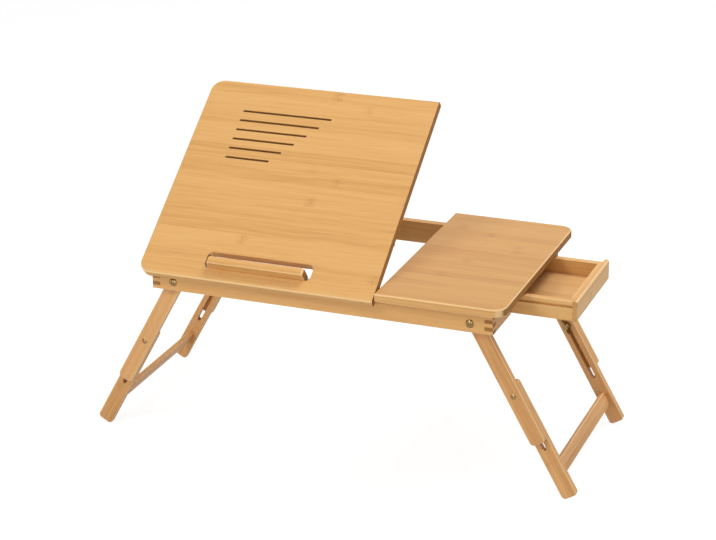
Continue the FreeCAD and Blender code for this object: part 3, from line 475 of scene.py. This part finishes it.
def cross_cutters(heads, span, width, depth):
    """Tapered crosses that sink into screw heads; each head is a point on its top and the way into it."""
    build = bmesh.new()
    for point, way in heads:
        turn = way.to_track_quat("Z", "Y").to_matrix().to_4x4()
        for quarter in (0, 1):
            made = bmesh.ops.create_cube(build, size=1.0)["verts"]
            for vert in made:
                low = vert.co.z > 0
                reach = span * (CROSS_FOOT if low else 1.0)
                vert.co = Vector((vert.co.x * reach, vert.co.y * width, depth if low else -CUT_ABOVE))
            spin = Matrix.Rotation(math.radians(45 + 90 * quarter), 4, "Z")
            bmesh.ops.transform(build, matrix=Matrix.Translation(point) @ turn @ spin, verts=made)
    return as_piece("cutters", build)


def fine(node, material, body, bevel=0.0, heads=(), cross=None):
    """Stands for a node of hardware: its own shape with softened edges and crosses in its heads."""
    build = joined(node)
    bmesh.ops.dissolve_limit(build, angle_limit=math.radians(FLAT_DEG), verts=build.verts, edges=build.edges)
    piece = as_piece(node + "_fine", build)
    if heads:
        cutter = cross_cutters(heads, *cross)
        cut = piece.modifiers.new("cross", "BOOLEAN")
        cut.operation = "DIFFERENCE"
        cut.solver = "EXACT"
        cut.use_self = True
        cut.object = cutter
        settled(piece)
        bpy.data.objects.remove(cutter)
    if bevel:
        soft = piece.modifiers.new("bevel", "BEVEL")
        soft.width = bevel
        soft.segments = 2
        soft.limit_method = "ANGLE"
        soft.angle_limit = math.radians(EDGE_DEG)
        soft.use_clamp_overlap = True
    settled(piece)
    piece.data.materials.clear()
    piece.data.materials.append(material)
    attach(piece, body)
    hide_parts(node)


pivot_heads = []
for x in (LEG_PIVOT_X, FRAME_W - LEG_PIVOT_X):
    pivot_heads.append((at(x, -PIVOT_HEAD_H, LEG_PIVOT_Z), Y))
    pivot_heads.append((at(x, FRAME_D + PIVOT_HEAD_H, LEG_PIVOT_Z), -Y))
fine("leg_pivot_bolts", bronze, "frame", BOLT_EDGE, pivot_heads, BOLT_CROSS)
for name, body, ways, cross in (
    ("rack_screws", "frame", (X, Z), SCREW_CROSS),
    ("guide_screws", "frame", (X, Z), SCREW_CROSS),
    ("drawer_screws", "drawer", (X, Z), SCREW_CROSS),
    ("hinge_frame_screws", "frame", (Z,), HINGE_CROSS),
    ("hinge_panel_screws", "tilting_top", (upright,), HINGE_CROSS),
):
    fine(name, steel, body, heads=screw_heads(name, ways), cross=cross)
for side in leg_ways:
    fine(f"{side}_adjuster_bolts", bronze, f"{side}_leg_upper", BOLT_EDGE)
    for end in ("front", "back"):
        fine(f"{side}_{end}_wing_nut", bronze, f"{side}_{end}_wing_nut", WING_EDGE)


# Floor, light and camera

FLOOR_HALF = 40         # metres
FLOOR_BELOW = 0.0004    # under the feet, in metres
FLOOR_LIT = 0.62        # how much light the floor returns to the table
FLOOR_SEEN = 0.24       # and to the picture, besides its glow
FLOOR_GLOW = 0.87
FILL = ((1.0, 0.995, 0.985, 1.0), 0.3)


def background_ray(tree):
    """1 for rays that show the background: straight from the camera, in a reflection or through glass."""
    path = tree.nodes.new("ShaderNodeLightPath")
    total = path.outputs["Is Camera Ray"]
    for kind in ("Is Glossy Ray", "Is Transmission Ray"):
        node = tree.nodes.new("ShaderNodeMath")
        node.operation = "MAXIMUM"
        tree.links.new(total, node.inputs[0])
        tree.links.new(path.outputs[kind], node.inputs[1])
        total = node.outputs[0]
    return total


def floor():
    """A white floor just under the feet, whose glow shows in the picture but lights nothing."""
    build = bmesh.new()
    bmesh.ops.create_grid(build, x_segments=1, y_segments=1, size=FLOOR_HALF)
    piece = as_piece("floor", build)
    piece.location.z = cad_low.z - FLOOR_BELOW
    g = Graph("floor_white")
    seen = background_ray(g.tree)
    grey = g.mix(seen, (*[FLOOR_LIT] * 3, 1.0), (*[FLOOR_SEEN] * 3, 1.0))
    material = g.shown(Base_Color=grey, Roughness=0.9, Specular_IOR_Level=0.0)
    glow = g.add("Emission", {"Color": WHITE, "Strength": g.times(seen, FLOOR_GLOW)})
    both = g.add("AddShader", {0: g.shader.outputs[0], 1: glow})
    g.put(g.tree.nodes["Material Output"].inputs["Surface"], both)
    piece.data.materials.append(material)


def lamp(name, place, size, power, aim=(0, 0, 0.2)):
    """A soft rectangular lamp that the camera doesn't see."""
    light = bpy.data.lights.new(name, "AREA")
    light.shape = "RECTANGLE"
    light.size, light.size_y = size
    light.energy = power
    piece = bpy.data.objects.new(name, light)
    piece.location = place
    piece.rotation_mode = "QUATERNION"
    piece.rotation_quaternion = (Vector(aim) - Vector(place)).to_track_quat("-Z", "Y")
    piece.visible_camera = False
    bpy.context.scene.collection.objects.link(piece)


def world():
    """A soft fill on the table, and plain white where the background shows."""
    made = bpy.data.worlds.new("studio")
    bpy.context.scene.world = made
    made.use_nodes = True
    tree = made.node_tree
    tree.nodes.clear()
    mixed = tree.nodes.new("ShaderNodeMixShader")
    tree.links.new(background_ray(tree), mixed.inputs[0])
    for number, (colour, strength) in enumerate((FILL, (WHITE, 1.0)), start=1):
        node = tree.nodes.new("ShaderNodeBackground")
        node.inputs[0].default_value = colour
        node.inputs[1].default_value = strength
        tree.links.new(node.outputs[0], mixed.inputs[number])
    out = tree.nodes.new("ShaderNodeOutputWorld")
    tree.links.new(mixed.outputs[0], out.inputs[0])


def camera():
    """The camera fitted to the photograph's straight edges."""
    azimuth, elevation, roll = math.radians(21.735), math.radians(21.488), math.radians(-0.736)
    focal, width = 2015.33, 716
    target = at(250.09, 175.0, -4.016)
    distance = 2.98588
    level = math.cos(elevation)
    back = Vector((math.sin(azimuth) * level, -math.cos(azimuth) * level, math.sin(elevation)))
    right = Vector((math.cos(azimuth), math.sin(azimuth), 0))
    up = back.cross(right)
    across = right * math.cos(roll) + up * math.sin(roll)
    rise = up * math.cos(roll) - right * math.sin(roll)
    data = bpy.data.cameras.new("camera")
    data.sensor_fit = "HORIZONTAL"
    data.sensor_width = 36.0
    data.lens = data.sensor_width * focal / width
    data.clip_start = 0.1
    data.clip_end = 100
    piece = bpy.data.objects.new("camera", data)
    place = target + back * distance
    piece.matrix_world = Matrix((
        (across.x, rise.x, back.x, place.x),
        (across.y, rise.y, back.y, place.y),
        (across.z, rise.z, back.z, place.z),
        (0, 0, 0, 1),
    ))
    bpy.context.scene.collection.objects.link(piece)
    bpy.context.scene.camera = piece


floor()
world()
lamp("key", (-0.9, -2.0, 2.1), (0.9, 0.9), 22)
lamp("top", (0.7, 0.6, 2.7), (1.6, 1.6), 42)
lamp("front", (0.2, -2.8, 0.7), (2.2, 1.0), 16)
lamp("low", (-1.3, -2.4, 0.25), (1.4, 0.4), 6, aim=(0, 0, 0.1))
lamp("back", (1.1, 2.3, 1.7), (1.4, 1.0), 7)
lamp("right", (2.6, -1.0, 0.6), (1.2, 1.0), 6)
camera()
bpy.context.scene.view_settings.view_transform = "Standard"
